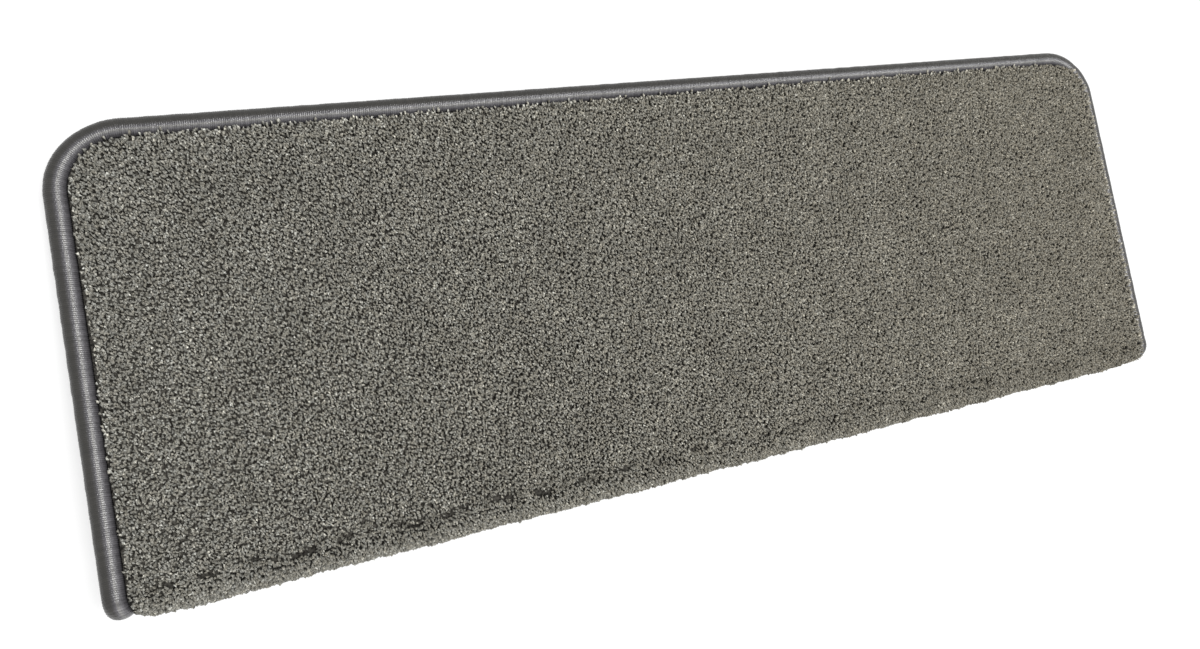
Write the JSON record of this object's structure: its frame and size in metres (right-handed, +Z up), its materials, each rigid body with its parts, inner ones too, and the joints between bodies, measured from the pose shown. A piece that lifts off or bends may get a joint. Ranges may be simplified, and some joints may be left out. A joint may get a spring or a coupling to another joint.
{
  "type": "anti-slip stair tread mat",
  "caption": "Cut-pile carpet mat for one stair tread, with its front folded down over the nose of the step and a whipped yarn edge all round.",
  "frame": {"origin": "middle of the floor under the mat, as it lies pile up on the lip's lower edge and its back edge", "axes": "+X across the step (the long side), -Y towards the nose, +Z up, on the pile side"},
  "size_m": [0.65, 0.236, 0.0386],
  "materials": {
    "pile": "warm grey cut pile of fine twisted tufts, matt",
    "woven_base": "coarse plain weave, matt",
    "whipping_yarn": "close-wound grey yarn with a soft satin sheen along the roll",
    "anti_slip_rubber": "dark grey rubber coat with a fine raised grip pattern, matt",
    "angle_plastic": "near-black plastic strip, fine grained"
  },
  "bodies": {
    "root": {"pile": "pile", "carpet_base": "woven_base", "edge_whipping": "whipping_yarn", "anti_slip_backing": "anti_slip_rubber", "nose_angle": "angle_plastic"}
  },
  "joints": []
}
